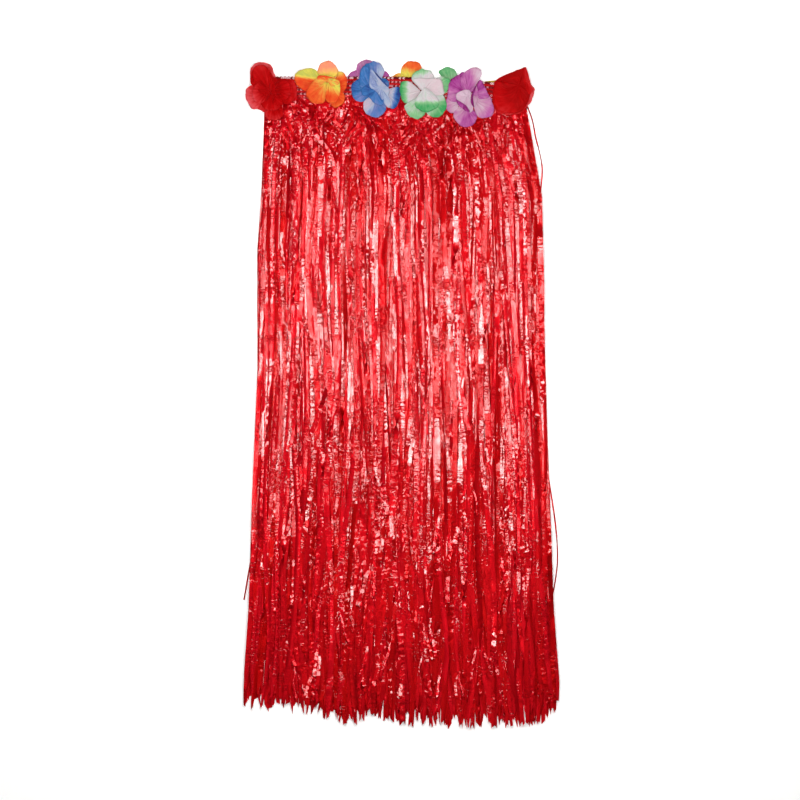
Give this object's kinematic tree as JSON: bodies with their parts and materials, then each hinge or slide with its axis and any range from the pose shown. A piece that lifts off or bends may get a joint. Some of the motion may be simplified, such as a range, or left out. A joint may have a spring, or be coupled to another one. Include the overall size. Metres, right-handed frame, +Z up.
{
  "type": "hula skirt",
  "caption": "Hula skirt laid flat: a knitted elastic waistband with cloth flowers sewn along it, over long layered fringe of thin red film strips with a ragged hem.",
  "frame": {"origin": "middle of the laid skirt's box, on the surface that it lies on", "axes": "+X to the skirt's right seen from above, +Y from the hem towards the waistband, +Z up from the surface"},
  "size_m": [0.3898, 0.8344, 0.019],
  "materials": {
    "film_fringe": "glossy crinkled thin film, slightly clear",
    "band_knit": "knitted elastic with raised rows and pale stitches",
    "petal_red": "stiffened satin cloth with pressed veins",
    "petal_orange": "stiffened satin cloth, orange fading to yellow",
    "petal_salmon": "stiffened satin cloth, salmon fading to yellow",
    "petal_blue": "stiffened satin cloth, blue fading to pale lavender",
    "petal_green": "stiffened satin cloth, green fading to white",
    "petal_purple": "stiffened satin cloth, purple fading to pale pink",
    "petal_yellow": "stiffened satin cloth, yellow"
  },
  "bodies": {
    "root": {"waistband_front": "band_knit", "waistband_back": "band_knit", "fringe_back_outer": "film_fringe", "fringe_back_inner": "film_fringe", "fringe_front_inner": "film_fringe", "fringe_front_outer": "film_fringe", "fringe_front_top": "film_fringe", "flower_front_red_left_outer": "petal_red", "flower_front_red_left_inner": "petal_red", "flower_front_orange_outer": "petal_orange", "flower_front_orange_inner": "petal_orange", "flower_front_blue_outer": "petal_blue", "flower_front_blue_inner": "petal_blue", "flower_front_green_outer": "petal_green", "flower_front_green_inner": "petal_green", "flower_front_purple_outer": "petal_purple", "flower_front_purple_inner": "petal_purple", "flower_front_red_right_outer": "petal_red", "flower_front_red_right_inner": "petal_red", "flower_back_salmon": "petal_salmon", "flower_back_purple": "petal_purple", "flower_back_orange": "petal_orange", "flower_back_green": "petal_green", "flower_back_yellow": "petal_yellow"}
  },
  "joints": []
}
